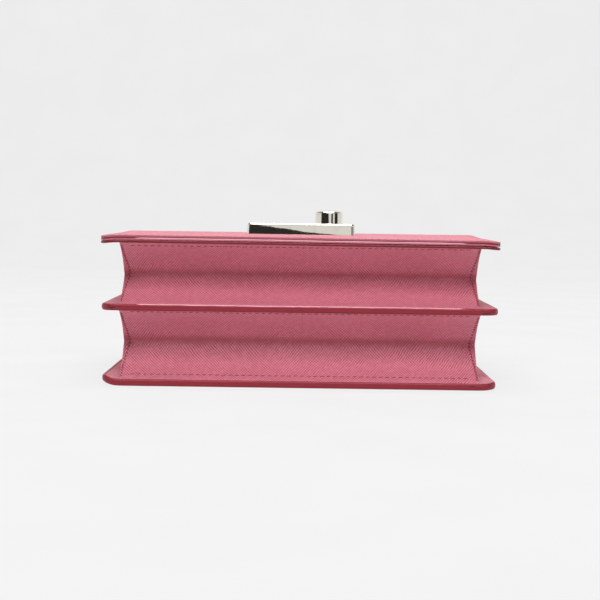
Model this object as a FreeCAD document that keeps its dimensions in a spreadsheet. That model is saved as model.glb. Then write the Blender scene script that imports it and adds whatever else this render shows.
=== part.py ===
import FreeCAD, Part
import math
import os

import Sketcher
from FreeCAD import Placement, Rotation, Vector

# A double-compartment flap bag, lying on its back.
# X is the bag's width, -Y its underside, +Y its mouth, and +Z the flap side.
# Z = 0 is the outer face of the back panel, and the origin is the middle of the bag's footprint.
# All sizes are in millimetres.

DRIVING = {
    # outline of the three panels
    "front_width": 167.4,
    "divider_width": 166.4,
    "back_width": 165.6,
    "bottom_edge": -60.0,
    "top_edge": 56.4,
    "panel_corner": 6.0,
    "board_inset": 3.0,
    # layers of the panels, and the two compartments between them
    "back_leather": 0.9,
    "back_board": 1.2,
    "back_lining": 0.8,
    "rear_gap": 28.6,
    "divider_leather": 0.8,
    "divider_board": 1.2,
    "front_gap": 25.5,
    "front_lining": 0.3,
    "front_board": 0.3,
    "front_leather": 0.5,
    # flap
    "flap_clearance": 0.2,
    "flap_lining": 0.5,
    "flap_board": 0.8,
    "flap_leather": 0.6,
    "flap_width": 167.4,
    "flap_edge": -59.5,
    "flap_corner": 6.5,
    "fold_radius": 3.0,
    "fold_straight": 3.0,
    # gussets
    "gusset_leather": 1.0,
    "gusset_setback": 0.8,
    "gusset_reach": 75.8,
    "gusset_apex": 1.5,
    "bottom_fold": 17.0,
    "side_fold_low": 1.5,
    "side_fold_high": 19.0,
    "side_top_setback": 1.5,
    # lock on the flap
    "lock_x": 0.0,
    "lock_y": 10.0,
    "lock_length": 49.0,
    "lock_depth": 16.0,
    "lock_height": 5.1,
    "lock_wall": 0.8,
    "lock_corner": 1.0,
    "base_plate": 1.2,
    "base_plate_play": 0.1,
    "base_well": 2.6,
    "back_plate_length": 51.0,
    "back_plate_depth": 14.5,
    "back_plate_play": 0.1,
    "button_offset": 12.8,
    "button_radius": 6.4,
    "button_play": 0.25,
    "button_proud": 6.2,
    "button_crown": 1.1,
    "flange_length": 8.0,
    "flange_depth": 13.6,
    "flange_thick": 0.5,
    "flange_drop": 0.7,
    "cone_height": 1.4,
    "cone_tip": 0.6,
    "cone_foot": 2.0,
    "bolt_thick": 0.8,
    "bolt_lift": 0.1,
    "bolt_reach": 5.4,
    "boss_radius": 1.5,
    "boss_floor": 0.6,
    "screw_x": 21.6,
    "screw_y": 5.5,
    "screw_radius": 0.75,
    "screw_head": 1.45,
    "screw_length": 5.0,
    "hole_play": 0.05,
    # striker on the front panel
    "post_offset": -8.0,
    "post_back": 4.0,
    "post_radius": 1.5,
    "post_rise": 5.1,
    "post_chamfer": 0.6,
    "post_groove": 0.6,
    "tenon_radius": 1.1,
    "striker_length": 13.8,
    "striker_depth": 6.8,
    "striker_play": 0.1,
    "rivet_reach": 5.0,
    "rivet_radius": 0.7,
    "slot_play": 0.6,
    "slot_swing": 7.0,
    # springs of the lock
    "button_spring_y": 5.4,
    "button_spring_radius": 0.8,
    "button_spring_wire": 0.3,
    "bolt_spring_radius": 0.55,
    "bolt_spring_wire": 0.25,
    "bolt_spring_lift": 0.8,
    "spring_slack": 0.1,
    # strap eyelets in the top strip
    "eyelet_x": 66.0,
    "eyelet_bore": 3.0,
    "eyelet_barrel": 3.5,
    "eyelet_rim": 5.2,
    "eyelet_rim_thick": 0.6,
}


def levels(size):
    """Heights and places that follow from the driving sizes."""
    found = {}
    found["back_board_low"] = size["back_leather"]
    found["back_lining_low"] = size["back_leather"] + size["back_board"]
    found["back_high"] = found["back_lining_low"] + size["back_lining"]
    found["divider_low"] = found["back_high"] + size["rear_gap"]
    found["divider_board_low"] = found["divider_low"] + size["divider_leather"]
    found["divider_front_low"] = found["divider_board_low"] + size["divider_board"]
    found["divider_high"] = found["divider_front_low"] + size["divider_leather"]
    found["front_low"] = found["divider_high"] + size["front_gap"]
    found["front_board_low"] = found["front_low"] + size["front_lining"]
    found["front_leather_low"] = found["front_board_low"] + size["front_board"]
    found["front_high"] = found["front_leather_low"] + size["front_leather"]
    found["flap_low"] = found["front_high"] + size["flap_clearance"]
    found["flap_board_low"] = found["flap_low"] + size["flap_lining"]
    found["flap_leather_low"] = found["flap_board_low"] + size["flap_board"]
    found["flap_high"] = found["flap_leather_low"] + size["flap_leather"]
    found["lock_high"] = found["flap_high"] + size["lock_height"]
    found["lock_floor"] = found["flap_high"] + size["base_plate"]
    found["button_seat"] = found["lock_high"] - size["lock_wall"] - size["flange_drop"]
    found["button_x"] = size["lock_x"] + size["button_offset"]
    found["bolt_tail"] = found["button_x"] + size["bolt_reach"]
    found["flap_thick"] = found["flap_high"] - found["flap_low"]
    found["strip_outer"] = size["top_edge"] + size["fold_radius"]
    found["strip_inner"] = found["strip_outer"] - found["flap_thick"]
    found["rear_axis"] = size["fold_radius"]
    found["front_axis"] = found["flap_high"] - size["fold_radius"]
    found["strip_low"] = found["rear_axis"] + size["fold_straight"]
    found["strip_high"] = found["front_axis"] - size["fold_straight"]
    found["flap_rear_end"] = size["top_edge"] - size["fold_straight"]
    return found


doc = FreeCAD.newDocument("CrossbodyPurse")
sheet = doc.addObject("Spreadsheet::Sheet", "Sizes")
SIZE = dict(DRIVING)
SIZE.update(levels(DRIVING))
for row, (alias, number) in enumerate(SIZE.items(), start=1):
    sheet.set("A%d" % row, alias)
    sheet.set("B%d" % row, str(round(number, 6)))
    sheet.setAlias("B%d" % row, alias)
doc.recompute()

NODES = []


def node(made, label):
    """Name a finished sub-part and keep it for the export."""
    made.Label = label
    NODES.append(made)
    return made


def bind(made, properties):
    """Tie properties of an object to cells of the sheet."""
    for name, formula in properties.items():
        made.setExpression(name, formula)


def box(name, lengths, corner):
    made = doc.addObject("Part::Box", name)
    bind(made, dict(zip(("Length", "Width", "Height"), lengths)))
    bind(made, dict(zip(("Placement.Base.x", "Placement.Base.y", "Placement.Base.z"), corner)))
    return made


def cylinder(name, radius, height, foot, turn=None):
    made = doc.addObject("Part::Cylinder", name)
    if turn is not None:
        made.Placement = Placement(Vector(), turn)
    bind(made, {"Radius": radius, "Height": height})
    bind(made, dict(zip(("Placement.Base.x", "Placement.Base.y", "Placement.Base.z"), foot)))
    return made


def cone(name, low_radius, high_radius, height, foot):
    made = doc.addObject("Part::Cone", name)
    bind(made, {"Radius1": low_radius, "Radius2": high_radius, "Height": height})
    bind(made, dict(zip(("Placement.Base.x", "Placement.Base.y", "Placement.Base.z"), foot)))
    return made


def joined(name, pieces):
    made = doc.addObject("Part::MultiFuse", name)
    made.Shapes = pieces
    return made


def group(name, pieces):
    """Separate identical solids that share one node."""
    made = doc.addObject("Part::Compound", name)
    made.Links = pieces
    return made


def cut(name, base, tools):
    made = doc.addObject("Part::Cut", name)
    made.Base = base
    made.Tool = tools[0] if len(tools) == 1 else joined(name + "_tools", tools)
    return made


def shaped(label, shape, placement=None):
    """A sub-part whose lofted, bent or coiled shape has no primitive."""
    made = doc.addObject("Part::Feature", label)
    made.Shape = shape
    made.Placement = placement or Placement()
    return node(made, label)


def origin_plane(body, role):
    return next(feature for feature in body.Origin.OriginFeatures if feature.Role == role)


def rectangle(body, name, width, depth):
    """A centred rectangle in the body's XY plane, its two sizes bound to formulas."""
    sketch = body.newObject("Sketcher::SketchObject", name)
    sketch.AttachmentSupport = [(origin_plane(body, "XY_Plane"), "")]
    sketch.MapMode = "FlatFace"
    corners = [Vector(-10, -10), Vector(10, -10), Vector(10, 10), Vector(-10, 10)]
    for k in range(4):
        sketch.addGeometry(Part.LineSegment(corners[k], corners[(k + 1) % 4]), False)
    for k in range(4):
        sketch.addConstraint(Sketcher.Constraint("Coincident", k, 2, (k + 1) % 4, 1))
        sketch.addConstraint(Sketcher.Constraint("Horizontal" if k % 2 == 0 else "Vertical", k))
    sketch.addConstraint(Sketcher.Constraint("Symmetric", 0, 1, 2, 1, -1, 1))
    wide = sketch.addConstraint(Sketcher.Constraint("DistanceX", 0, 1, 0, 2, 20.0))
    deep = sketch.addConstraint(Sketcher.Constraint("DistanceY", 1, 1, 1, 2, 20.0))
    sketch.renameConstraint(wide, "wide")
    sketch.renameConstraint(deep, "deep")
    bind(sketch, {"Constraints.wide": width, "Constraints.deep": depth})
    return sketch


def upright_edges(shape, below=math.inf):
    """The names of the edges that run along Z, at a Y less than below."""
    names = []
    for number, edge in enumerate(shape.Edges, start=1):
        ends = [vertex.Point for vertex in edge.Vertexes]
        if len(ends) == 2 and (ends[0] - ends[1]).cross(Vector(0, 0, 1)).Length < 1e-6:
            if ends[0].y < below:
                names.append("Edge%d" % number)
    return names


def plate(name, width, near, far, low, thick, corner=None):
    """A flat layer in X and Y at height low: a padded rectangle, its two lower corners rounded."""
    body = doc.addObject("PartDesign::Body", name)
    pad = body.newObject("PartDesign::Pad", name + "_pad")
    pad.Profile = rectangle(body, name + "_outline", width, "%s - (%s)" % (far, near))
    bind(pad, {"Length": thick})
    bind(body, {"Placement.Base.y": "((%s) + (%s)) / 2" % (far, near), "Placement.Base.z": low})
    doc.recompute()
    if corner is not None:
        rounding = body.newObject("PartDesign::Fillet", name + "_corners")
        rounding.Base = (pad, upright_edges(pad.Shape, below=0.0))
        bind(rounding, {"Radius": corner})
        body.Tip = rounding
        doc.recompute()
    return body


def covered_plate(label, width, near, far, low, board, skin, corner, board_below):
    """A leather layer with a shallow bed for its board, on its lower or upper side."""
    leather = plate(label + "_sheet", width, near, far, low, "(%s) + (%s)" % (board, skin), corner)
    bed_low = low if board_below else "(%s) + (%s)" % (low, skin)
    inset = "Sizes.board_inset"
    bed = box(
        label + "_bed",
        ("%s - 2 * %s" % (width, inset), "(%s) - (%s) - 2 * %s" % (far, near, inset), board),
        ("-(%s) / 2 + %s" % (width, inset), "(%s) + %s" % (near, inset), bed_low),
    )
    return cut(label, leather, [bed])


def board(label, width, near, far, low, thick):
    """A stiffener board, set in from the panel's edge by the board inset."""
    inset = "Sizes.board_inset"
    return box(
        label,
        ("%s - 2 * %s" % (width, inset), "(%s) - (%s) - 2 * %s" % (far, near, inset), thick),
        ("-(%s) / 2 + %s" % (width, inset), "(%s) + %s" % (near, inset), low),
    )


BOTTOM = "Sizes.bottom_edge"
TOP = "Sizes.top_edge"
CORNER = "Sizes.panel_corner"
POST_X = "(Sizes.lock_x + Sizes.post_offset)"
POST_Y = "(Sizes.lock_y + Sizes.post_back)"
BUTTON_X = "(Sizes.lock_x + Sizes.button_offset)"


def back_panel():
    width = "Sizes.back_width"
    leather = covered_plate("back_panel_leather", width, BOTTOM, TOP, "0", "Sizes.back_board",
                            "Sizes.back_leather", CORNER, False)
    node(leather, "back_panel_leather")
    node(board("back_board", width, BOTTOM, TOP, "Sizes.back_board_low", "Sizes.back_board"),
         "back_panel_board")
    lining = plate("back_lining_sheet", width, BOTTOM, TOP, "Sizes.back_lining_low",
                   "Sizes.back_lining", CORNER)
    node(lining, "back_panel_lining")


def divider_panel():
    width = "Sizes.divider_width"
    rear = covered_plate("divider_rear", width, BOTTOM, TOP, "Sizes.divider_low",
                         "Sizes.divider_board", "Sizes.divider_leather", CORNER, False)
    node(rear, "divider_rear_leather")
    node(board("divider_stiffener", width, BOTTOM, TOP, "Sizes.divider_board_low",
               "Sizes.divider_board"), "divider_board")
    front = plate("divider_front", width, BOTTOM, TOP, "Sizes.divider_front_low",
                  "Sizes.divider_leather", CORNER)
    node(front, "divider_front_leather")


def front_panel():
    width = "Sizes.front_width"
    lining = plate("front_lining_sheet", width, BOTTOM, TOP, "Sizes.front_low",
                   "Sizes.front_lining", CORNER)
    node(lining, "front_panel_lining")
    stiffener = board("front_stiffener", width, BOTTOM, TOP, "Sizes.front_board_low",
                      "Sizes.front_board")
    holes = rivets("front_board_hole", "Sizes.front_board_low", "Sizes.front_board")
    node(cut("front_board_drilled", stiffener, holes), "front_panel_board")
    leather = covered_plate("front_cover", width, BOTTOM, TOP, "Sizes.front_board_low",
                            "Sizes.front_board", "Sizes.front_leather", CORNER, True)
    play = "Sizes.striker_play"
    recess = box(
        "striker_recess",
        ("Sizes.striker_length + 2 * %s" % play, "Sizes.striker_depth + 2 * %s" % play,
         "Sizes.front_leather"),
        ("%s - Sizes.striker_length / 2 - %s" % (POST_X, play),
         "%s - Sizes.striker_depth / 2 - %s" % (POST_Y, play), "Sizes.front_leather_low"),
    )
    node(cut("front_leather_cut", leather, [recess]), "front_panel_leather")


def rivets(name, low, tall):
    """The two striker rivets, or their holes, either side of the post."""
    return [
        cylinder("%s_%d" % (name, k), "Sizes.rivet_radius", tall,
                 ("%s + %d * Sizes.rivet_reach" % (POST_X, side), POST_Y, low))
        for k, side in enumerate((-1, 1))
    ]


def striker():
    """The lock's fixed half: a plate let into the front panel, its two rivets and its post."""
    low, thick = "Sizes.front_leather_low", "Sizes.front_leather"
    foot = (POST_X, POST_Y, low)
    sheet_metal = box(
        "striker_sheet",
        ("Sizes.striker_length", "Sizes.striker_depth", thick),
        ("%s - Sizes.striker_length / 2" % POST_X, "%s - Sizes.striker_depth / 2" % POST_Y, low),
    )
    drill = rivets("striker_drill", low, thick)
    drill.append(cylinder("striker_post_hole", "Sizes.tenon_radius", thick, foot))
    node(cut("striker_drilled", sheet_metal, drill), "striker_plate")
    pair = rivets("striker_rivet", "Sizes.front_board_low", "Sizes.front_board + Sizes.front_leather")
    node(group("striker_rivet_pair", pair), "striker_rivets")

    rise, chamfer = "Sizes.post_rise", "Sizes.post_chamfer"
    shank = cylinder("post_shank", "Sizes.post_radius", "%s - %s" % (rise, chamfer),
                     (POST_X, POST_Y, "Sizes.front_high"))
    crown = cone("post_crown", "Sizes.post_radius", "Sizes.post_radius - %s" % chamfer, chamfer,
                 (POST_X, POST_Y, "Sizes.front_high + %s - %s" % (rise, chamfer)))
    tenon = cylinder("post_tenon", "Sizes.tenon_radius", thick, foot)
    neck = (POST_X, POST_Y, "Sizes.flap_high + Sizes.base_plate")
    neck_tall = "Sizes.bolt_thick + 2 * Sizes.bolt_lift"
    around = cylinder("post_groove_outer", "2 * Sizes.post_radius", neck_tall, neck)
    core = cylinder("post_groove_core", "Sizes.post_radius - Sizes.post_groove", neck_tall, neck)
    groove = cut("post_groove", around, [core])
    post = joined("post_solid", [shank, crown, tenon])
    node(cut("post_turned", post, [groove]), "striker_post")


def bent_strip(label, centre_z, turn, end_lengths):
    """A quarter bend of the flap leather with a straight run at each end, seen along X."""
    outer = SIZE["fold_radius"]
    inner = outer - SIZE["flap_thick"]
    half = SIZE["flap_width"] / 2

    def place(across, along):
        """Point from the fold's axis: across the corner to +Y, along to the fold's other side."""
        return Vector(-half, SIZE["top_edge"] + across, centre_z + turn * along)

    level, upright = end_lengths
    diagonal = math.sqrt(0.5)
    runs = [
        (place(-level, outer), place(0, outer)),
        (place(outer, 0), place(outer, -upright)),
        (place(outer, -upright), place(inner, -upright)),
        (place(inner, -upright), place(inner, 0)),
        (place(0, inner), place(-level, inner)),
        (place(-level, inner), place(-level, outer)),
    ]
    edges = [Part.LineSegment(start, end).toShape() for start, end in runs if start != end]
    for radius in (outer, inner):
        middle = place(radius * diagonal, radius * diagonal)
        edges.append(Part.Arc(place(0, radius), middle, place(radius, 0)).toShape())
    edges = Part.sortEdges(edges)[0]
    section = Part.Face(Part.Wire(edges))
    return shaped(label, section.extrude(Vector(2 * half, 0, 0)))


def lock_slot(name, low, thick):
    """The slot that the striker post stands in, long enough for the flap to swing off it."""
    side = "(Sizes.post_radius + Sizes.slot_play)"
    return box(
        name,
        ("2 * %s" % side, "2 * %s + Sizes.slot_swing" % side, thick),
        ("%s - %s" % (POST_X, side), "%s - %s - Sizes.slot_swing" % (POST_Y, side), low),
    )


def screw_places():
    for side in (-1, 1):
        for end in (-1, 1):
            yield ("Sizes.lock_x + %d * Sizes.screw_x" % end, "Sizes.lock_y + %d * Sizes.screw_y" % side)


def screw_holes(name, radius, low, thick):
    return [
        cylinder("%s_%d" % (name, k), radius, thick, (x, y, low))
        for k, (x, y) in enumerate(screw_places())
    ]


def lock_cutters(name, low, thick):
    holes = screw_holes(name + "_screw_hole", "Sizes.screw_radius + Sizes.hole_play", low, thick)
    return [lock_slot(name + "_slot", low, thick)] + holes


def flap():
    width, near, far = "Sizes.flap_width", "Sizes.flap_edge", "Sizes.flap_rear_end"
    corner = "Sizes.flap_corner"
    lining = plate("flap_lining_sheet", width, near, far, "Sizes.flap_low", "Sizes.flap_lining", corner)
    recess = box(
        "back_plate_recess",
        ("Sizes.back_plate_length", "Sizes.back_plate_depth", "Sizes.flap_lining"),
        ("Sizes.lock_x - Sizes.back_plate_length / 2", "Sizes.lock_y - Sizes.back_plate_depth / 2",
         "Sizes.flap_low"),
    )
    node(cut("flap_lining_cut", lining, [recess]), "flap_lining")

    low = "Sizes.flap_board_low"
    stiffener = board("flap_stiffener", width, near, far, low, "Sizes.flap_board")
    node(cut("flap_board_cut", stiffener, lock_cutters("flap_board", low, "Sizes.flap_board")),
         "flap_board")

    thick = "Sizes.flap_board + Sizes.flap_leather"
    leather = plate("flap_leather_sheet", width, near, far, low, thick, corner)
    inset = "Sizes.board_inset"
    bed = box(
        "flap_bed",
        ("%s - 2 * %s" % (width, inset), "%s - (%s) - 2 * %s" % (far, near, inset), "Sizes.flap_board"),
        ("-%s / 2 + %s" % (width, inset), "%s + %s" % (near, inset), low),
    )
    holes = lock_cutters("flap_leather", "Sizes.flap_leather_low", "Sizes.flap_leather")
    node(cut("flap_leather_cut", leather, [bed] + holes), "flap_leather")


def eyelet_holes(name):
    """Holes through the top strip, along Y."""
    along = Rotation(Vector(1, 0, 0), -90)
    return [
        cylinder("%s_%d" % (name, k), "Sizes.eyelet_barrel", "Sizes.flap_thick",
                 ("%d * Sizes.eyelet_x" % side, "Sizes.strip_inner", EYELET_HEIGHT), along)
        for k, side in enumerate((-1, 1))
    ]


EYELET_HEIGHT = "(Sizes.strip_low + Sizes.strip_high) / 2"


def top_strip():
    """The part of the flap that closes the mouth: outer leather over its lining."""
    width = "Sizes.flap_width"
    tall = "Sizes.strip_high - Sizes.strip_low"
    split = "Sizes.strip_inner + Sizes.flap_lining"
    outer = box("strip_sheet", (width, "Sizes.strip_outer - (%s)" % split, tall),
                ("-%s / 2" % width, split, "Sizes.strip_low"))
    node(cut("strip_leather_cut", outer, eyelet_holes("strip_leather_hole")), "top_strip_leather")
    inner = box("strip_lining_sheet", (width, "Sizes.flap_lining", tall),
                ("-%s / 2" % width, "Sizes.strip_inner", "Sizes.strip_low"))
    node(cut("strip_lining_cut", inner, eyelet_holes("strip_lining_hole")), "top_strip_lining")
    bent_strip("flap_rear_fold", SIZE["rear_axis"], -1, (0.0, SIZE["fold_straight"]))
    bent_strip("flap_front_fold", SIZE["front_axis"], 1, (SIZE["fold_straight"],) * 2)


def eyelets():
    """Strap eyelets: a rimmed barrel from outside, and a washer on the inside."""
    along = Rotation(Vector(1, 0, 0), -90)
    rim_thick = "Sizes.eyelet_rim_thick"
    for side, word in ((-1, "left"), (1, "right")):
        x = "%d * Sizes.eyelet_x" % side
        inside = ("Sizes.strip_inner - %s" % rim_thick)
        barrel = cylinder("barrel_" + word, "Sizes.eyelet_barrel", "Sizes.flap_thick + 2 * %s" % rim_thick,
                          (x, inside, EYELET_HEIGHT), along)
        rim = cylinder("rim_" + word, "Sizes.eyelet_rim", rim_thick,
                       (x, "Sizes.strip_outer", EYELET_HEIGHT), along)
        bore = cylinder("bore_" + word, "Sizes.eyelet_bore", "Sizes.flap_thick + 2 * %s" % rim_thick,
                        (x, inside, EYELET_HEIGHT), along)
        solid = joined("eyelet_solid_" + word, [barrel, rim])
        node(cut("eyelet_cut_" + word, solid, [bore]), "strap_eyelet_" + word)
        disc = cylinder("washer_disc_" + word, "Sizes.eyelet_rim", rim_thick,
                        (x, inside, EYELET_HEIGHT), along)
        hole = cylinder("washer_hole_" + word, "Sizes.eyelet_barrel", rim_thick,
                        (x, inside, EYELET_HEIGHT), along)
        node(cut("washer_cut_" + word, disc, [hole]), "eyelet_washer_" + word)


def fold_section(depth, low, high):
    """Section of a folded gusset: a blunt V of leather between two panels, as (inward, height) pairs."""
    middle = (low + high) / 2
    thick, apex = SIZE["gusset_leather"], SIZE["gusset_apex"]
    rise = middle - apex - low
    shift = thick * math.hypot(depth, rise) / rise
    tip = depth + thick
    return [(0.0, low), (depth, middle - apex), (depth, middle + apex), (0.0, high),
            (shift, high), (tip, middle + apex), (tip, middle - apex), (shift, low)]


def gusset_mouth():
    return SIZE["bottom_edge"] + SIZE["gusset_setback"]


def side_wall(side, low, high):
    """The folded end wall of one compartment, its fold deeper towards the mouth."""
    wires = []
    ends = ((gusset_mouth(), SIZE["side_fold_low"]),
            (SIZE["top_edge"] - SIZE["side_top_setback"], SIZE["side_fold_high"]))
    for at_y, depth in ends:
        corners = [Vector(side * (SIZE["gusset_reach"] - inward), at_y, height)
                   for inward, height in fold_section(depth, low, high)]
        wires.append(Part.makePolygon(corners + corners[:1]))
    return Part.makeLoft(wires, True, True)


def bottom_channel(low, high):
    """The channel under one compartment, running through both side walls."""
    half = SIZE["gusset_reach"]
    corners = [Vector(-half, gusset_mouth() + inward, height)
               for inward, height in fold_section(SIZE["bottom_fold"], low, high)]
    return Part.Face(Part.makePolygon(corners + corners[:1])).extrude(Vector(2 * half, 0, 0))


def under_channel(low, high):
    """The open space outside the bottom channel, which trims the lower ends of the side walls."""
    far = 2 * SIZE["gusset_reach"]
    section = fold_section(SIZE["bottom_fold"], low, high)[:4]
    spare = 1.0
    around = [(-spare, high + spare), (-spare, low - spare)]
    corners = [Vector(-far, gusset_mouth() + inward, height) for inward, height in section + around]
    return Part.Face(Part.makePolygon(corners + corners[:1])).extrude(Vector(2 * far, 0, 0))


def gussets():
    spaces = (("rear", SIZE["back_high"], SIZE["divider_low"]),
              ("front", SIZE["divider_high"], SIZE["front_low"]))
    for name, low, high in spaces:
        channel = bottom_channel(low, high)
        for side, word in ((-1, "left"), (1, "right")):
            wall = side_wall(side, low, high)
            channel = max(channel.cut(wall).Solids, key=lambda solid: solid.Volume)
            shaped("%s_%s_gusset" % (name, word), wall.cut(under_channel(low, high)))
        shaped(name + "_bottom_gusset", channel)


def lock_box(name, length, depth, low, tall):
    """A block centred on the lock."""
    return box(name, (length, depth, tall),
               ("Sizes.lock_x - (%s) / 2" % length, "Sizes.lock_y - (%s) / 2" % depth, low))


def lock_case():
    """The bright cover with its screw bosses, and the plates on both sides of the flap."""
    length, depth, tall = "Sizes.lock_length", "Sizes.lock_depth", "Sizes.lock_height"
    wall = "Sizes.lock_wall"
    block = lock_box("cover_block", length, depth, "Sizes.flap_high", tall)
    doc.recompute()
    rounded = doc.addObject("Part::Fillet", "cover_rounded")
    rounded.Base = block
    corner = SIZE["lock_corner"]
    rounded.Edges = [(int(name[4:]), corner, corner) for name in upright_edges(block.Shape)]
    hollow = lock_box("cover_hollow", "%s - 2 * %s" % (length, wall), "%s - 2 * %s" % (depth, wall),
                      "Sizes.flap_high", "%s - %s" % (tall, wall))
    window = cylinder("cover_window", "Sizes.button_radius + Sizes.button_play", wall,
                      (BUTTON_X, "Sizes.lock_y", "Sizes.lock_high - %s" % wall))
    shell = cut("cover_shell", rounded, [hollow, window])
    boss_low = "Sizes.flap_high + Sizes.base_plate"
    boss_tall = "(%s - %s - Sizes.base_plate)" % (tall, wall)
    bosses = screw_holes("cover_boss", "Sizes.boss_radius", boss_low, boss_tall)
    threads = screw_holes("cover_thread", "Sizes.screw_radius", boss_low, "%s - Sizes.boss_floor" % boss_tall)
    node(cut("cover_drilled", joined("cover_with_bosses", [shell] + bosses), threads), "lock_cover")

    slack = "2 * (%s + Sizes.base_plate_play)" % wall
    base = lock_box("base_sheet", "%s - %s" % (length, slack), "%s - %s" % (depth, slack),
                    "Sizes.flap_high", "Sizes.base_plate")
    well = cylinder("base_well", "Sizes.base_well", "Sizes.base_plate",
                    (BUTTON_X, "Sizes.lock_y", "Sizes.flap_high"))
    cutters = lock_cutters("base_plate", "Sizes.flap_high", "Sizes.base_plate")
    node(cut("base_cut", base, cutters + [well]), "lock_base_plate")

    slack = "2 * Sizes.back_plate_play"
    back = lock_box("back_plate_sheet", "Sizes.back_plate_length - %s" % slack,
                    "Sizes.back_plate_depth - %s" % slack, "Sizes.flap_low", "Sizes.flap_lining")
    play = "Sizes.hole_play"
    sinks = [
        cone("back_plate_sink_%d" % k, "Sizes.screw_head + %s" % play, "Sizes.screw_radius + %s" % play,
             "Sizes.flap_lining", (x, y, "Sizes.flap_low"))
        for k, (x, y) in enumerate(screw_places())
    ]
    slot = lock_slot("back_plate_slot", "Sizes.flap_low", "Sizes.flap_lining")
    node(cut("back_plate_cut", back, sinks + [slot]), "lock_back_plate")


def lock_screws():
    """Four countersunk screws, from the back plate up into the cover's bosses."""
    screws = []
    for k, (x, y) in enumerate(screw_places()):
        head = cone("screw_head_%d" % k, "Sizes.screw_head", "Sizes.screw_radius", "Sizes.flap_lining",
                    (x, y, "Sizes.flap_low"))
        shank = cylinder("screw_shank_%d" % k, "Sizes.screw_radius", "Sizes.screw_length",
                         (x, y, "Sizes.flap_board_low"))
        screws.append(joined("screw_%d" % k, [head, shank]))
    node(group("lock_screw_set", screws), "lock_screws")


def button():
    """The round knob, with the flange that keeps it in the cover and the cone that moves the bolt."""
    seat = "Sizes.button_seat"
    flange = box("button_flange", ("Sizes.flange_length", "Sizes.flange_depth", "Sizes.flange_thick"),
                 ("%s - Sizes.flange_length / 2" % BUTTON_X, "Sizes.lock_y - Sizes.flange_depth / 2", seat))
    crown = "Sizes.button_crown"
    low, high = "%s + Sizes.flange_thick" % seat, "Sizes.lock_high + Sizes.button_proud - %s" % crown
    knob = cylinder("button_knob", "Sizes.button_radius", "%s - (%s)" % (high, low),
                    (BUTTON_X, "Sizes.lock_y", low))
    top = cone("button_crown", "Sizes.button_radius", "Sizes.button_radius - %s" % crown, crown,
               (BUTTON_X, "Sizes.lock_y", high))
    nose = cone("button_cone", "Sizes.cone_tip", "Sizes.cone_foot", "Sizes.cone_height",
                (BUTTON_X, "Sizes.lock_y", "%s - Sizes.cone_height" % seat))
    node(joined("button_solid", [flange, knob, top, nose]), "lock_button")


def coil(radius, wire, length):
    """A round-wire compression spring that stands on the origin, its axis along Z."""
    turns = 3
    helix = Part.makeHelix((length - wire) / turns, length - wire, radius)
    profile = Part.Wire(Part.makeCircle(wire / 2, Vector(radius, 0, 0), Vector(0, 1, 0)))
    solid = Part.Wire(helix.Edges).makePipeShell([profile], True, True)
    solid.translate(Vector(0, 0, wire / 2))
    return solid


def springs():
    """Two springs under the button's flange, and one behind the bolt."""
    slack, floor = SIZE["spring_slack"], SIZE["lock_floor"]
    coils = []
    for side in (-1, 1):
        spring = coil(SIZE["button_spring_radius"], SIZE["button_spring_wire"],
                      SIZE["button_seat"] - floor - 2 * slack)
        spring.translate(Vector(SIZE["button_x"], SIZE["lock_y"] + side * SIZE["button_spring_y"],
                                floor + slack))
        coils.append(spring)
    shaped("button_springs", Part.makeCompound(coils))
    room = SIZE["lock_x"] + SIZE["lock_length"] / 2 - SIZE["lock_wall"] - SIZE["bolt_tail"]
    foot = Vector(SIZE["bolt_tail"] + slack, SIZE["lock_y"], floor + SIZE["bolt_spring_lift"])
    along_x = Rotation(Vector(0, 0, 1), Vector(1, 0, 0))
    spring = coil(SIZE["bolt_spring_radius"], SIZE["bolt_spring_wire"], room - 2 * slack)
    shaped("bolt_spring", spring, Placement(foot, along_x))


def latch_bolt():
    """A sliding plate: its nose faces the striker post, and a sloped window rides on the cone."""
    x, y, tail, thick = SIZE["button_x"], SIZE["lock_y"], SIZE["bolt_tail"], SIZE["bolt_thick"]
    low = SIZE["lock_floor"] + SIZE["bolt_lift"]
    high = low + thick
    nose_clearance = 0.35
    nose = SIZE["lock_x"] + SIZE["post_offset"] + SIZE["post_radius"] + nose_clearance
    half, shoulder, arm_end = 3.8, x - 9.0, x - 6.0
    nose_low, nose_high = SIZE["post_back"] - 1.6, SIZE["post_back"] + 1.6
    outline = [(nose, nose_low), (shoulder, nose_low), (shoulder, -half), (tail, -half),
               (tail, half), (arm_end, half), (arm_end, nose_high), (nose, nose_high)]
    corners = [Vector(px, y + py, low) for px, py in outline]
    body = Part.Face(Part.makePolygon(corners + corners[:1])).extrude(Vector(0, 0, thick))

    window_play, window_left, window_half = 0.2, x - 3.6, 2.2
    tip = SIZE["button_seat"] - SIZE["cone_height"]
    reach_low = x + SIZE["cone_tip"] + (low - tip) + window_play
    window = [Vector(window_left, y - window_half, low), Vector(reach_low, y - window_half, low),
              Vector(reach_low + thick, y - window_half, high), Vector(window_left, y - window_half, high)]
    opening = Part.Face(Part.makePolygon(window + window[:1])).extrude(Vector(0, 2 * window_half, 0))

    tab_thick, tab_half, tab_rise = 0.8, 1.8, 0.6
    tab = Part.makeBox(tab_thick, 2 * tab_half, tab_rise, Vector(tail - tab_thick, y - tab_half, high))
    shaped("latch_bolt", body.cut(opening).fuse(tab).removeSplitter())


back_panel()
divider_panel()
front_panel()
striker()
gussets()
top_strip()
eyelets()
flap()
lock_case()
lock_screws()
button()
springs()
latch_bolt()
doc.recompute()

failed = [made.Label for made in doc.Objects if "Invalid" in made.State or "Error" in made.State]
failed += [made.Label for made in NODES if made.Shape.isNull() or not made.Shape.isValid()]
if failed:
    raise SystemExit("failed: " + ", ".join(failed))

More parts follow.
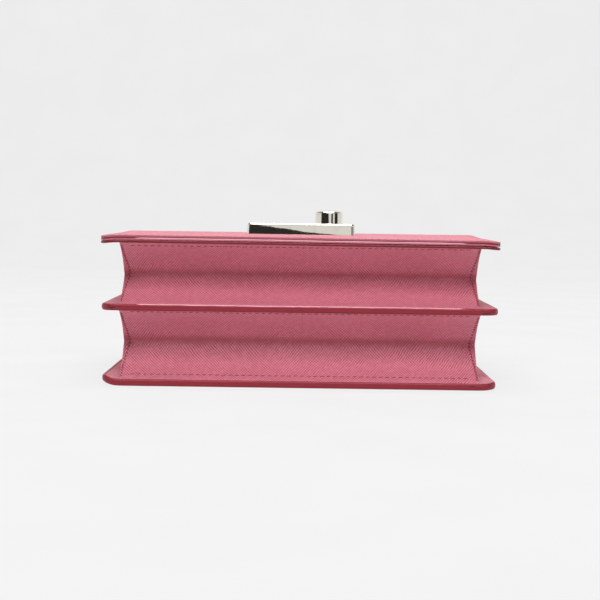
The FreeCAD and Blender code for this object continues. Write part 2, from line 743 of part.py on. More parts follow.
os.makedirs("parts", exist_ok=True)
for made in NODES:
    made.Shape.exportStep("parts/%s.step" % made.Label)
print(len(NODES), "nodes written")
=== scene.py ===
import math
import random
from collections import namedtuple

import bmesh
import bpy
from mathutils import Matrix, Vector, noise


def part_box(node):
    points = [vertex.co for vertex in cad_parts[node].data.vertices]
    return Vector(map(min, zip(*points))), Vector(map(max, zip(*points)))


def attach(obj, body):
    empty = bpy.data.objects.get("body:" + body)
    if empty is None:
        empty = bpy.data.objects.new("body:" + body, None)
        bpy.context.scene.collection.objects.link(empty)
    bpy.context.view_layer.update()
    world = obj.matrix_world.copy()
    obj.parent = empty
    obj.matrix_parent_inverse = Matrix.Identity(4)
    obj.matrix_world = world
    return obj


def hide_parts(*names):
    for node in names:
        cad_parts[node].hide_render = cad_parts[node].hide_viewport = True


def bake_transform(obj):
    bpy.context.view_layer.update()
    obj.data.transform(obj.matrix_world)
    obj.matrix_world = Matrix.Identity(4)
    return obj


# A double-compartment flap bag in pink cross-grained leather, lying on its back.
# Shapes are worked out in millimetres in the frame of the model and scaled to metres when a mesh is made.

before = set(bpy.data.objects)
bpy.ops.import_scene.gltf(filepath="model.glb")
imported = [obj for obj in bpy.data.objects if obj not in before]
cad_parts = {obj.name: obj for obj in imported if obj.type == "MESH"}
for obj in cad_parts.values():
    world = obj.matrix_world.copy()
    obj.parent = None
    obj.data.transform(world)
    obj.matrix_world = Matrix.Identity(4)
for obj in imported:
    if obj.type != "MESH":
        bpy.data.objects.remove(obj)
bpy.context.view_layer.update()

MM = 0.001
UP = Vector((0, 0, 1))
random.seed(7)


def span(node):
    """Lowest and highest corner of a CAD node, in millimetres."""
    low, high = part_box(node)
    return low / MM, high / MM


BACK_LOW, BACK_HIGH = span("back_panel_leather")[0], span("back_panel_lining")[1]
DIVIDER_LOW, DIVIDER_HIGH = span("divider_rear_leather")[0], span("divider_front_leather")[1]
FRONT_LOW, FRONT_HIGH = span("front_panel_lining")[0], span("front_panel_leather")[1]
FLAP_LOW, FLAP_HIGH = span("flap_lining")[0], span("flap_leather")[1]
COVER_LOW, COVER_HIGH = span("lock_cover")
BUTTON_LOW, BUTTON_HIGH = span("lock_button")
BUTTON = (BUTTON_LOW + BUTTON_HIGH) / 2
STRIKER = sum(span("striker_plate"), Vector()) / 2

NEAR = BACK_LOW.y
FAR = BACK_HIGH.y
PANEL_CORNER = 6.0
FLAP_CORNER = 6.5
FOLD_RADIUS = span("top_strip_leather")[1].y - FAR
FLAP_THICK = FLAP_HIGH.z - FLAP_LOW.z
FLAP_HALF = FLAP_HIGH.x
STITCH_PITCH = 2.7
SEAM_INSET = 2.6


# ---------------------------------------------------------------- materials

class Shader:
    """A procedural material under construction, with short calls for its nodes."""

    def __init__(self, name):
        self.material = bpy.data.materials.new(name)
        self.material.use_nodes = True
        self.tree = self.material.node_tree
        self.shader = self.tree.nodes["Principled BSDF"]

    def node(self, kind, **settings):
        made = self.tree.nodes.new(kind)
        for name, value in settings.items():
            setattr(made, name, value)
        return made

    def feed(self, socket, value):
        if isinstance(value, bpy.types.NodeSocket):
            self.tree.links.new(value, socket)
        else:
            socket.default_value = value

    def paint(self, socket, colour):
        self.feed(socket, colour if isinstance(colour, bpy.types.NodeSocket) else (*colour, 1.0))

    def math(self, operation, *values, clamp=False):
        made = self.node("ShaderNodeMath", operation=operation, use_clamp=clamp)
        for socket, value in zip(made.inputs, values):
            self.feed(socket, value)
        return made.outputs[0]

    def vector(self, operation, *values):
        made = self.node("ShaderNodeVectorMath", operation=operation)
        for socket, value in zip(made.inputs, values):
            self.feed(socket, value)
        return made.outputs["Value"] if operation == "DOT_PRODUCT" else made.outputs["Vector"]

    def noise(self, vector, scale, detail=3.0, roughness=0.5, distortion=0.0):
        made = self.node("ShaderNodeTexNoise")
        for name, value in (("Vector", vector), ("Scale", scale), ("Detail", detail),
                            ("Roughness", roughness), ("Distortion", distortion)):
            self.feed(made.inputs[name], value)
        return made.outputs["Fac"]

    def span(self, value, low, high, to_low=0.0, to_high=1.0):
        made = self.node("ShaderNodeMapRange", interpolation_type="SMOOTHSTEP")
        for name, number in (("Value", value), ("From Min", low), ("From Max", high),
                             ("To Min", to_low), ("To Max", to_high)):
            self.feed(made.inputs[name], number)
        return made.outputs["Result"]

    def mix(self, factor, first, second):
        made = self.node("ShaderNodeMix", data_type="RGBA", blend_type="MIX")
        self.feed(made.inputs["Factor"], factor)
        self.paint(made.inputs["A"], first)
        self.paint(made.inputs["B"], second)
        return made.outputs["Result"]

    def place(self):
        """Position on the object at rest, in millimetres."""
        return self.vector("MULTIPLY", self.node("ShaderNodeTexCoord").outputs["Object"], (1 / MM,) * 3)

    def grain(self):
        """The surface's own flat coordinates, in millimetres, kept in the mesh."""
        return self.node("ShaderNodeAttribute", attribute_name="grain").outputs["Vector"]

    def part(self, vector, axis):
        made = self.node("ShaderNodeSeparateXYZ")
        self.feed(made.inputs[0], vector)
        return made.outputs[axis]

    def bump(self, height, distance, strength=1.0):
        made = self.node("ShaderNodeBump")
        made.inputs["Strength"].default_value = strength
        made.inputs["Distance"].default_value = distance * MM
        self.feed(made.inputs["Height"], height)
        return made.outputs["Normal"]

    def finish(self, colour, roughness, normal=None, **constants):
        self.paint(self.shader.inputs["Base Color"], colour)
        self.feed(self.shader.inputs["Roughness"], roughness)
        if normal is not None:
            self.feed(self.shader.inputs["Normal"], normal)
        for name, value in constants.items():
            self.shader.inputs[name.replace("_", " ").title().replace("Ior", "IOR")].default_value = value
        return self.material


PINK = (0.84, 0.285, 0.385)
PINK_GROOVE = (0.38, 0.034, 0.052)
RASPBERRY = (0.28, 0.018, 0.034)
RASPBERRY_DARK = (0.18, 0.010, 0.020)
SCUFF = (0.030, 0.010, 0.010)
# Painted highlight: a light pink, brighter than the leather, for the unpainted strip of an edge.
LIP_HIGHLIGHT = (0.92, 0.48, 0.56)

GRAIN_PITCH = 0.98
GRAIN_ANGLES = (52.0, -57.0)


def cross_grain(shader, where):
    """Two families of pressed diagonal lines that cross; each fades in and out over the hide."""
    drift = shader.noise(where, 0.035, 2.0)
    ridges = []
    for number, degrees in enumerate(GRAIN_ANGLES):
        angle = math.radians(degrees)
        across = shader.vector("DOT_PRODUCT", where, (math.sin(angle), math.cos(angle), 0.0))
        waver = shader.math("MULTIPLY", shader.noise(where, 0.11 + 0.05 * number, 2.0), 1.5)
        phase = shader.math("MULTIPLY", shader.math("ADD", across, waver), 2 * math.pi / GRAIN_PITCH)
        wave = shader.math("MULTIPLY_ADD", shader.math("SINE", phase), 0.5, 0.5)
        line = shader.math("POWER", wave, 0.33)
        broken = shader.span(shader.noise(where, 0.45 + 0.1 * number, 3.0), 0.30, 0.62, 0.55, 1.0)
        share = shader.span(drift, 0.38, 0.62, 0.45 + 0.55 * number, 1.0 - 0.55 * number)
        depth = shader.math("MULTIPLY", broken, share)
        ridges.append(shader.math("MULTIPLY", shader.math("SUBTRACT", 1.0, line), depth))
    grooves = shader.math("MAXIMUM", ridges[0], ridges[1])
    both = shader.math("MULTIPLY", shader.math("ADD", ridges[0], ridges[1]), 0.35)
    return shader.math("ADD", shader.math("MULTIPLY", grooves, 0.65), both, clamp=True)


def leather(name, face, groove, roughness=0.46, depth=0.10, shine=0.4):
    shader = Shader(name)
    where = shader.grain()
    grooves = cross_grain(shader, where)
    pebble = shader.noise(where, 1.7, 4.0, 0.6)
    cloud = shader.noise(where, 0.045, 3.0)
    tone = shader.mix(shader.span(cloud, 0.35, 0.65), face, tuple(c * 0.93 for c in face))
    # Painted shade: the third flat coordinate, 1 along a gusset's crease, darkens the colour towards the
    # groove colour.
    tone = shader.mix(shader.math("MULTIPLY", shader.part(where, "Z"), 0.65), tone, groove)
    colour = shader.mix(shader.math("MULTIPLY", grooves, 1.3, clamp=True), tone, groove)
    height = shader.math("SUBTRACT", shader.math("MULTIPLY", pebble, 0.16), grooves)
    rough = shader.math("ADD", shader.math("MULTIPLY", grooves, 0.22),
                        shader.span(cloud, 0.3, 0.7, roughness - 0.03, roughness + 0.05))
    return shader.finish(colour, rough, shader.bump(height, depth), specular_ior_level=shine)


PAINT_ENDS = (66.0, 76.0)


def edge_paint(name, band, base=RASPBERRY, dark=RASPBERRY_DARK):
    """Brushed coats of edge paint: slightly lumpy, glossy, cracked and scuffed near the corners. Outside the
    band, two shares of the edge's height from -1 to 1, the edge is left unpainted and given a colour lighter
    than the leather, a painted highlight, except at the panel's ends."""
    shader = Shader(name)
    where = shader.place()
    streak = shader.vector("MULTIPLY", where, (0.25, 1.0, 2.2))
    layers = shader.noise(streak, 0.9, 4.0, 0.6)
    lumps = shader.noise(where, 0.55, 3.0)
    tone = shader.mix(shader.span(layers, 0.45, 0.8, 0.0, 0.6), base, dark)
    along = shader.math("ABSOLUTE", shader.part(where, "X"))
    ends = shader.span(along, *PAINT_ENDS)
    tips = shader.span(along, 83.4, 81.0)
    cracks = shader.noise(shader.vector("MULTIPLY", where, (0.30, 1.0, 1.6)), 0.75, 5.0, 0.62, 0.6)
    scuffs = shader.math("MULTIPLY", shader.span(cracks, 0.56, 0.66), shader.math("MULTIPLY", ends, tips))
    specks = shader.span(shader.noise(where, 1.1, 4.0, 0.7), 0.70, 0.78, 0.0, 0.5)
    rubbed = shader.math("MULTIPLY", specks, shader.span(along, 50, 80, 0.1, 0.8))
    wear = shader.math("MAXIMUM", scuffs, rubbed)
    colour = shader.mix(wear, tone, SCUFF)
    share = shader.part(shader.grain(), "Z")
    waver = shader.math("MULTIPLY_ADD", shader.noise(where, 0.12, 3.0), 0.30, -0.15)
    spread = shader.math("ADD", waver, shader.span(along, *PAINT_ENDS, 0.0, 1.5))
    above = shader.math("SUBTRACT", share, shader.math("ADD", spread, band[1]))
    below = shader.math("SUBTRACT", shader.math("SUBTRACT", band[0], spread), share)
    # Painted highlight: outside the band the edge takes the light lip colour.
    lip_highlight = shader.span(shader.math("MAXIMUM", above, below), 0.0, 0.16)
    colour = shader.mix(lip_highlight, colour, LIP_HIGHLIGHT)
    height = shader.math("SUBTRACT", shader.math("ADD", shader.math("MULTIPLY", layers, 0.5), lumps),
                         shader.math("MULTIPLY", wear, 0.7))
    rough = shader.math("ADD", shader.math("MULTIPLY", wear, 0.35), shader.span(lumps, 0.3, 0.7, 0.32, 0.44))
    return shader.finish(colour, rough, shader.bump(height, 0.10), specular_ior_level=0.3,
                         coat_weight=0.06, coat_roughness=0.3)


def polished_nickel(name):
    shader = Shader(name)
    roughness = 0.03
    where = shader.place()
    smudge = shader.noise(where, 0.16, 4.0, 0.6, 0.8)
    hairline = shader.noise(shader.vector("MULTIPLY", where, (0.5, 9.0, 4.0)), 1.3, 3.0)
    waves = shader.noise(where, 0.10, 2.0)
    rough = shader.math("ADD", shader.span(smudge, 0.55, 0.8, roughness, roughness + 0.08),
                        shader.math("MULTIPLY", shader.span(hairline, 0.66, 0.74), 0.05))
    tone = shader.mix(shader.span(smudge, 0.4, 0.8), (0.93, 0.89, 0.79), (0.84, 0.80, 0.70))
    height = shader.math("ADD", waves, shader.math("MULTIPLY", hairline, 0.01))
    return shader.finish(tone, rough, shader.bump(height, 0.04, 0.4), metallic=1.0)


def brushed_plate(name, tone):
    shader = Shader(name)
    where = shader.place()
    brush = shader.noise(shader.vector("MULTIPLY", where, (0.3, 8.0, 8.0)), 2.0, 4.0)
    rough = shader.span(brush, 0.3, 0.7, 0.25, 0.42)
    colour = shader.mix(brush, tone, tuple(c * 0.82 for c in tone))
    return shader.finish(colour, rough, shader.bump(brush, 0.02), metallic=1.0)


def fibre_board(name):
    shader = Shader(name)
    where = shader.place()
    fibres = shader.noise(shader.vector("MULTIPLY", where, (1.0, 1.0, 6.0)), 1.8, 6.0, 0.7)
    colour = shader.mix(shader.span(fibres, 0.3, 0.7), (0.46, 0.37, 0.26), (0.30, 0.23, 0.15))
    return shader.finish(colour, 0.85, shader.bump(fibres, 0.08))


def lining_leather(name, face, deep):
    """A smooth split leather lining with a fine pebbled grain."""
    shader = Shader(name)
    where = shader.grain()
    cells = shader.node("ShaderNodeTexVoronoi", feature="DISTANCE_TO_EDGE")
    shader.feed(cells.inputs["Vector"], where)
    cells.inputs["Scale"].default_value = 1.6
    pores = shader.span(cells.outputs["Distance"], 0.0, 0.16)
    cloud = shader.noise(where, 0.05, 3.0)
    tone = shader.mix(shader.span(cloud, 0.35, 0.65), face, tuple(c * 0.9 for c in face))
    colour = shader.mix(pores, deep, tone)
    rough = shader.span(cloud, 0.3, 0.7, 0.55, 0.68)
    return shader.finish(colour, rough, shader.bump(pores, 0.05), sheen_weight=0.15)


def sewing_thread(name, light, dark):
    shader = Shader(name)
    where = shader.grain()
    twist = shader.vector("DOT_PRODUCT", where, (1.0, 0.62, 0.0))
    ply = shader.math("SINE", shader.math("MULTIPLY", twist, 14.0))
    strand = shader.math("MULTIPLY_ADD", ply, 0.5, 0.5)
    fuzz = shader.noise(where, 3.0, 4.0)
    colour = shader.mix(shader.math("MULTIPLY", strand, 0.8), dark, light)
    height = shader.math("ADD", strand, shader.math("MULTIPLY", fuzz, 0.4))
    return shader.finish(colour, 0.55, shader.bump(height, 0.06), sheen_weight=0.2)


OUTER = leather("outer_leather", (0.68, 0.25, 0.32), PINK_GROOVE)
GUSSET = leather("gusset_leather", PINK, PINK_GROOVE, roughness=0.36, depth=0.19, shine=0.8)
LINING = lining_leather("lining_leather", (0.76, 0.27, 0.35), (0.55, 0.13, 0.18))
EDGE = edge_paint("edge_paint", (-1.5, 1.5))
# The divider's and the flap's bands end inside the edge and leave a strip of painted highlight.
DIVIDER_EDGE = edge_paint("divider_edge_paint", (-1.5, 0.72))
FRONT_EDGE = edge_paint("front_edge_paint", (-1.5, 1.2), (0.20, 0.010, 0.018), (0.13, 0.006, 0.011))
FLAP_EDGE = edge_paint("flap_edge_paint", (0.05, 0.75))
THREAD = sewing_thread("sewing_thread", (0.50, 0.080, 0.115), (0.22, 0.022, 0.034))
PINK_THREAD = sewing_thread("pink_thread", (0.74, 0.26, 0.34), (0.45, 0.09, 0.13))
NICKEL = polished_nickel("polished_nickel")
PLATE = brushed_plate("plate_steel", (0.66, 0.65, 0.61))
SPRING = brushed_plate("spring_steel", (0.48, 0.48, 0.48))
BOARD = fibre_board("fibre_board")


# ---------------------------------------------------------------- mesh tools

def put(name, data):
    """A new object in the scene."""
    made = bpy.data.objects.new(name, data)
    bpy.context.scene.collection.objects.link(made)
    return made


def make_object(name, points, faces, grain, material, smooth_angle=40.0):
    """A mesh from points in millimetres, with its flat leather coordinates as an attribute."""
    mesh = bpy.data.meshes.new(name)
    mesh.from_pydata([tuple(Vector(p) * MM) for p in points], [], faces)
    mesh.validate()
    attribute = mesh.attributes.new("grain", "FLOAT_VECTOR", "POINT")
    flat = [number for spot in grain for number in (tuple(spot) + (0.0,))[:3]]
    attribute.data.foreach_set("vector", flat)
    mesh.materials.append(material)
    mesh.update()
    made = put(name, mesh)
    mesh.shade_smooth()
    mesh.set_sharp_from_angle(angle=math.radians(smooth_angle))
    return made


def bridge(count, total, closed=False):
    """Quads between neighbouring rings of count points; closed joins the last ring to the first."""
    faces = []
    for k in range(total if closed else total - 1):
        here, there = k * count, (k + 1) % total * count
        for i in range(count):
            j = (i + 1) % count
            faces.append((here + i, here + j, there + j, there + i))
    return faces


def loft(name, sections, grains, material, smooth_angle=40.0):
    """Joins closed sections of equal length into one closed solid. A section's second half runs back
    under its first, so opposite points pair up and each end is closed with quads."""
    count = len(sections[0])
    faces = bridge(count, len(sections))
    last = (len(sections) - 1) * count
    for i in range(count // 2 - 1):
        opposite = count - 1 - i
        faces.append((i, opposite, opposite - 1, i + 1))
        faces.append((last + i, last + i + 1, last + opposite - 1, last + opposite))
    return orient(make_object(name, sum(sections, []), faces, sum(grains, []), material, smooth_angle))


def orient(made, weld=False):
    """Turns every face of a closed mesh outwards; weld first joins points that lie on each other."""
    work = bmesh.new()
    work.from_mesh(made.data)
    if weld:
        bmesh.ops.remove_doubles(work, verts=work.verts, dist=1e-7)
        bmesh.ops.dissolve_degenerate(work, dist=1e-8, edges=work.edges)
    bmesh.ops.recalc_face_normals(work, faces=work.faces)
    work.to_mesh(made.data)
    work.free()
    return made


def wander(x, y, size, seed=0.0):
    """Smooth noise of about -1 to 1, with features of the given size in millimetres."""
    return noise.noise(Vector((x / size, y / size, seed)))


def ease(value):
    value = max(0.0, min(1.0, value))
    return value * value * (3 - 2 * value)


def stations(half, corner, step):
    """Places across the width, closer together in the rounded corners."""
    turns = 10
    ends = [half - corner * (1 - math.cos(math.pi / 2 * k / turns)) for k in range(turns)]
    inner = half - corner
    count = max(2, round(2 * inner / step))
    middle = [-inner + 2 * inner * k / count for k in range(count + 1)]
    return [-x for x in ends] + middle + ends[::-1]


def rounding(x, half, corner):
    """How far a rounded corner cuts back the edge at x."""
    reach = corner - (half - abs(x))
    if reach <= 0:
        return 0.0
    return corner - math.sqrt(max(0.0, corner * corner - reach * reach))


# ---------------------------------------------------------------- panels

def flat_warp(x, y):
    """The stiff panels are not quite flat."""
    return 0.12 * wander(x, y, 45.0, 3.1)


STRIKER_SEAT = 0.25


def tip_droop(x, y):
    """The thin front panel leans a little to one side, bends down at the near edge and past the gussets, and
    is pressed in around the striker plate."""
    tip = ease((abs(x) - 73.0) / 11.5)
    seat = math.exp(-((x - STRIKER.x) / 11.0) ** 4 - ((y - STRIKER.y) / 8.0) ** 4)
    lean = 0.14 * wander(x, y, 38.0, 8.4) - 0.0045 * x
    return lean - 0.6 * tip * tip - 0.3 * ease((-35.0 - y) / 25.0) - STRIKER_SEAT * seat


def sheet(name, half, corner, low, high, material, warp, near=NEAR, far=FAR):
    """One flat layer of a panel: a thin closed slab with its two lower corners rounded."""
    half, corner, near = half - EDGE_ROUND, corner - EDGE_ROUND, near + EDGE_ROUND
    sections, grains = [], []
    rows = 44
    for x in stations(half, corner, 3.0):
        start = near + rounding(x, half, corner)
        ys = [start + (far - start) * k / rows for k in range(rows + 1)]
        top = [(x, y, high + warp(x, y)) for y in ys]
        bottom = [(x, y, low + warp(x, y)) for y in reversed(ys)]
        sections.append(top + bottom)
        grains.append([(x, y) for y in ys] + [(x, y + 200.0) for y in reversed(ys)])
    return loft(name, sections, grains, material)


def corner_turn(centre, radius, start, turns=12):
    """Edge points round a quarter turn about centre, without its two ends."""
    found = []
    for k in range(1, turns):
        angle = start + math.pi / 2 * k / turns
        out = Vector((math.cos(angle), math.sin(angle), 0))
        found.append((centre + out * radius, out))
    return found


def panel_path(half, corner, near, far, closed, step=2.0):
    """Points around a panel's edge with their outward directions, from the far left round the near side."""
    side_run, near_run = far - near - corner, 2 * (half - corner)
    along, across = int(side_run / step), int(near_run / step)
    path = [(Vector((-half, far - side_run * k / along, 0)), Vector((-1, 0, 0))) for k in range(along + 1)]
    path += corner_turn(Vector((-half + corner, near + corner, 0)), corner, math.pi)
    path += [(Vector((-half + corner + near_run * k / across, near, 0)), Vector((0, -1, 0)))
             for k in range(across + 1)]
    path += corner_turn(Vector((half - corner, near + corner, 0)), corner, 1.5 * math.pi)
    path += [(Vector((half, near + corner + side_run * k / along, 0)), Vector((1, 0, 0)))
             for k in range(along + 1)]
    if closed:
        path += [(Vector((half - 2 * half * k / across, far, 0)), Vector((0, 1, 0)))
                 for k in range(1, across)]
    return path


BEAD_TURNS = 12
BEAD_FOOT = 0.86
EDGE_ROUND = 0.85
EDGE_OVERLAP = 0.5


def bead(name, rail, half_thick, closed, material=EDGE):
    """The rounded, painted edge: a half-round strip that wraps the layers along a rail of
    (point, outward, normal)."""
    sections, grains = [], []
    travelled = 0.0
    previous = rail[0][0]
    for point, outward, normal in rail:
        travelled += (point - previous).length
        previous = point
        lump = 1.0 + 0.03 * noise.noise(point * 0.30)
        dent = 0.10 * (0.5 + 0.5 * noise.noise(point * 0.22 + Vector((9, 2, 5))))
        foot = point - outward * (EDGE_ROUND + EDGE_OVERLAP)
        ring = [foot - normal * half_thick * BEAD_FOOT]
        shares = [-1.0]
        for k in range(BEAD_TURNS + 1):
            angle = -math.pi / 2 + math.pi * k / BEAD_TURNS
            reach = -EDGE_ROUND + (EDGE_ROUND - dent) * max(0.0, math.cos(angle)) ** 0.8
            rise = half_thick * lump * math.copysign(abs(math.sin(angle)) ** 0.85, angle)
            ring.append(point + outward * reach + normal * rise)
            shares.append(rise / (half_thick * lump))
        ring.append(foot + normal * half_thick * BEAD_FOOT)
        shares.append(1.0)
        sections.append([tuple(p) for p in ring])
        grains.append([(travelled, k * 0.4, share) for k, share in enumerate(shares)])
    return tube_ring(name, sections, grains, material, capped=not closed)


def tube_ring(name, sections, grains, material, capped=False):
    """A tube of equal sections, either closed on itself or capped at both ends."""
    count = len(sections[0])
    faces = bridge(count, len(sections), closed=not capped)
    if capped:
        faces.append(tuple(range(count)))
        faces.append(tuple((len(sections) - 1) * count + i for i in range(count)))
    return orient(make_object(name, sum(sections, []), faces, sum(grains, []), material, 50.0))


def panel_rail(half, corner, low, high, warp, closed, near=NEAR, far=FAR):
    middle = (low + high) / 2
    return [(Vector((p.x, p.y, middle + warp(p.x, p.y))), out, UP)
            for p, out in panel_path(half, corner, near, far, closed)]


def stitch_row(name, path, pitch, length, radius, body, slant=0.12, sink=0.25, material=THREAD):
    """Separate stitches along a path of (point, surface normal): each dives into the leather at both ends."""
    distances = lengths([point for point, _ in path])
    count = max(1, int(distances[-1] / pitch))
    points, faces, grain = [], [], []
    rings, sides = 7, 8
    segment = 0
    for number in range(count):
        target = (number + 0.5) * distances[-1] / count
        while segment < len(distances) - 2 and distances[segment + 1] < target:
            segment += 1
        (a, normal_a), (b, normal_b) = path[segment], path[segment + 1]
        share = (target - distances[segment]) / max(1e-9, distances[segment + 1] - distances[segment])
        centre = a.lerp(b, share)
        normal = normal_a.lerp(normal_b, share).normalized()
        along = (b - a).normalized()
        side = normal.cross(along).normalized()
        tilt = slant * (1 + 0.35 * random.uniform(-1, 1))
        reach = length / 2 * (1 + 0.06 * random.uniform(-1, 1))
        first = len(points)
        for ring in range(rings):
            t = -1 + 2 * ring / (rings - 1)
            lift = radius * 0.45 - (radius + sink) * abs(t) ** 3
            middle = centre + along * (reach * t) + side * (tilt * reach * t) + normal * lift
            thick = radius * (1 - 0.35 * abs(t) ** 4)
            for k in range(sides):
                angle = 2 * math.pi * k / sides
                round_way = side * math.cos(angle) + normal * (0.85 * math.sin(angle))
                points.append(middle + round_way * thick)
                grain.append((reach * t + number * 3.0, thick * angle))
        faces += [tuple(first + k for k in face) for face in bridge(sides, rings)]
        faces.append(tuple(first + k for k in reversed(range(sides))))
        faces.append(tuple(first + (rings - 1) * sides + k for k in range(sides)))
    made = make_object(name, points, faces, grain, material, 60.0)
    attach(made, body)
    return made


def dress(made, slot, body, *nodes):
    """Hangs a piece on its body and lets it stand for CAD nodes, which it hides; the slot is not used."""
    if body is not None:
        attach(made, body)
    if nodes:
        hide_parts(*nodes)
    return made


def perimeter_seam(name, half, corner, level, up, warp, body, far=FAR, near=NEAR, material=THREAD):
    """A row of stitches just inside the near side and the two ends of a panel's outer face."""
    inner = [(p - out * SEAM_INSET, out) for p, out in panel_path(half, corner, near, far - 1.0, False)]
    path = [(Vector((p.x, p.y, level + warp(p.x, p.y))), Vector((0, 0, up))) for p, _ in inner]
    stitch_row(name, path, STITCH_PITCH, 2.0, 0.17, body, material=material)


BOARD_INSET = 3.0


def panel(name, body, low, high, warp, edge, closed, lower, upper):
    """A stiff panel: a lower and an upper face, each (piece, thickness, material, slot, node), and the
    painted edge that wraps them."""
    half = high.x
    for face, bottom, top in ((lower, low.z, low.z + lower[1]), (upper, high.z - upper[1], high.z)):
        piece, _, material, slot, node = face
        dress(sheet(piece, half, PANEL_CORNER, bottom, top, material, warp), slot, body, node)
    rail = panel_rail(half, PANEL_CORNER, low.z, high.z, warp, closed)
    dress(bead(name + "_edge", rail, (high.z - low.z) / 2, closed, edge), "outer_leather", body)


def panels():
    panel("back", "root", BACK_LOW, BACK_HIGH, flat_floor, EDGE, False,
          ("back_leather", 0.95, OUTER, "outer_leather", "back_panel_leather"),
          ("back_lining", 0.85, LINING, "lining_leather", "back_panel_lining"))
    panel("divider", "divider", DIVIDER_LOW, DIVIDER_HIGH, flat_warp, DIVIDER_EDGE, True,
          ("divider_rear", 0.85, OUTER, "outer_leather", "divider_rear_leather"),
          ("divider_front", 0.85, OUTER, "outer_leather", "divider_front_leather"))
    panel("front", "front_panel", FRONT_LOW, FRONT_HIGH, tip_droop, FRONT_EDGE, True,
          ("front_lining", 0.34, LINING, "lining_leather", "front_panel_lining"),
          ("front_leather", 0.54, OUTER, "outer_leather", "front_panel_leather"))
    board = sheet("front_board", FRONT_HIGH.x - BOARD_INSET, 3.0, FRONT_LOW.z + 0.3, FRONT_HIGH.z - 0.5,
                  BOARD, tip_droop, NEAR + BOARD_INSET, FAR - BOARD_INSET)
    dress(board, "stiffener_board", "front_panel", "front_panel_board")
    perimeter_seam("back_seam", BACK_HIGH.x, PANEL_CORNER, BACK_LOW.z + 0.14, -1, flat_floor, "root")
    perimeter_seam("front_seam", FRONT_HIGH.x, PANEL_CORNER, FRONT_HIGH.z, 1, tip_droop, "front_panel")


def flat_floor(x, y):
    """The back panel lies flat on whatever holds it, and its two ends curl up a little."""
    tip = ease((abs(x) - 73.0) / 11.0)
    return (1.6 if x < 0 else 0.5) * tip * tip


# ---------------------------------------------------------------- gussets

SEAM_X = 72.9
MARGIN_X = 75.3
CHANNEL_Y = NEAR + 0.8
BOTTOM_FOLD = 17.0
SIDE_FOLD = 18.5
GUSSET_THICK = 0.95
GUSSET_TOP = span("rear_left_gusset")[1].y - 0.2
FOLD_STEPS = 36


def fold_shape(s, apex):
    """Depth of a softly folded gusset, 0 at both panels and 1 at its crease, which lies at apex."""
    away = (apex - s) / apex if s < apex else (s - apex) / (1 - apex)
    return 1 - (away ** 1.4 * 0.75 + away ** 3 * 0.25)


# The space between two panels that gussets close: its heights, its two bodies, the seed of its creases,
# how far up its crease lies, and how far up its straight rows of stitches run.
Gap = namedtuple("Gap", "name low high bodies seed crease rows")
GAPS = (Gap("rear", BACK_HIGH.z, DIVIDER_LOW.z, ("root", "divider"), 1.7, 0.50, (0.06, 0.985)),
        Gap("front", DIVIDER_HIGH.z, FRONT_LOW.z, ("divider", "front_panel"), 5.2, 0.45, (0.955,)))


def crease_place(x, gap):
    """The crease wanders along the channel."""
    return gap.crease + 0.022 * wander(x, 0.0, 60.0, gap.seed) + 0.012 * wander(x, 0.0, 17.0, gap.seed + 4.0)


def seam_place(s):
    """How far out the corner seam runs: it draws in towards the crease."""
    return MARGIN_X - 0.5 - (MARGIN_X - 0.5 - SEAM_X) * math.exp(-((s - 0.5) / 0.24) ** 2)


def channel_point(x, s, gap):
    """Outer face of a bottom gusset at x, a share s of the way from the lower to the upper panel."""
    depth = BOTTOM_FOLD * fold_shape(s, crease_place(x, gap)) if 0 < s < 1 else 0.0
    soft = math.sin(math.pi * s)
    across = s * 22.0
    depth += soft * (0.45 * wander(x, across, 30.0, gap.seed) + 0.16 * wander(x, across, 8.0, gap.seed + 2.0))
    groove = math.exp(-((abs(x) - seam_place(s)) / 0.5) ** 2)
    crease = math.exp(-((s - crease_place(x, gap)) / 0.06) ** 2)
    pinch = math.exp(-max(0.0, SEAM_X - abs(x)) / 3.0)
    depth += 0.35 * groove * soft + 1.1 * crease * pinch
    return Vector((x, CHANNEL_Y + depth, gap.low + (gap.high - gap.low) * s))


def row_normals(rows, toward):
    """Unit normals of a grid of points, on the side of the given direction."""
    normals = []
    for r, row in enumerate(rows):
        line = []
        for k in range(len(row)):
            along = row[min(k + 1, len(row) - 1)] - row[max(k - 1, 0)]
            across = rows[min(r + 1, len(rows) - 1)][k] - rows[max(r - 1, 0)][k]
            normal = along.cross(across).normalized()
            line.append(normal if normal.dot(toward) > 0 else -normal)
        normals.append(line)
    return normals


def lengths(row):
    total, found = 0.0, [0.0]
    for a, b in zip(row, row[1:]):
        total += (b - a).length
        found.append(total)
    return found


def gusset_solid(name, rows, toward, shares, apex):
    """A gusset from rows of outer points, with each row's place along the hide given by shares. The third
    flat coordinate is 1 along the crease, where the leather material darkens the colour as painted shade."""
    sections, grains = [], []
    for row, line, share in zip(rows, row_normals(rows, toward), shares):
        for k in (0, -1):
            line[k] = Vector((line[k].x, line[k].y, 0.0)).normalized()
        inner = [point + normal * GUSSET_THICK for point, normal in zip(row, line)]
        sections.append([tuple(p) for p in row + inner[::-1]])
        along = lengths(row)
        # Painted shade along the crease, a little above its apex, for the leather material to darken.
        crease = [math.exp(-((k / FOLD_STEPS - apex - 0.03) / 0.065) ** 2) for k in range(len(row))]
        grains.append([(share, v, c) for v, c in zip(along, crease)]
                      + [(share, v + 90.0, 0.0) for v in reversed(along)])
    return loft(name, sections, grains, GUSSET, 55.0)


def between_panels(made, gap, *nodes):
    """Hides the CAD nodes a gusset piece stands for and keeps its placement in the mesh; the gap is not used.
    """
    if nodes:
        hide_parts(*nodes)
    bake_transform(made)


def bottom_gusset(gap):
    xs = stations(MARGIN_X, 4.0, 1.6)
    rows = [[channel_point(x, k / FOLD_STEPS, gap) for k in range(FOLD_STEPS + 1)] for x in xs]
    made = gusset_solid(gap.name + "_bottom", rows, Vector((0, 1, 0)), xs, gap.crease)
    between_panels(made, gap, gap.name + "_bottom_gusset")


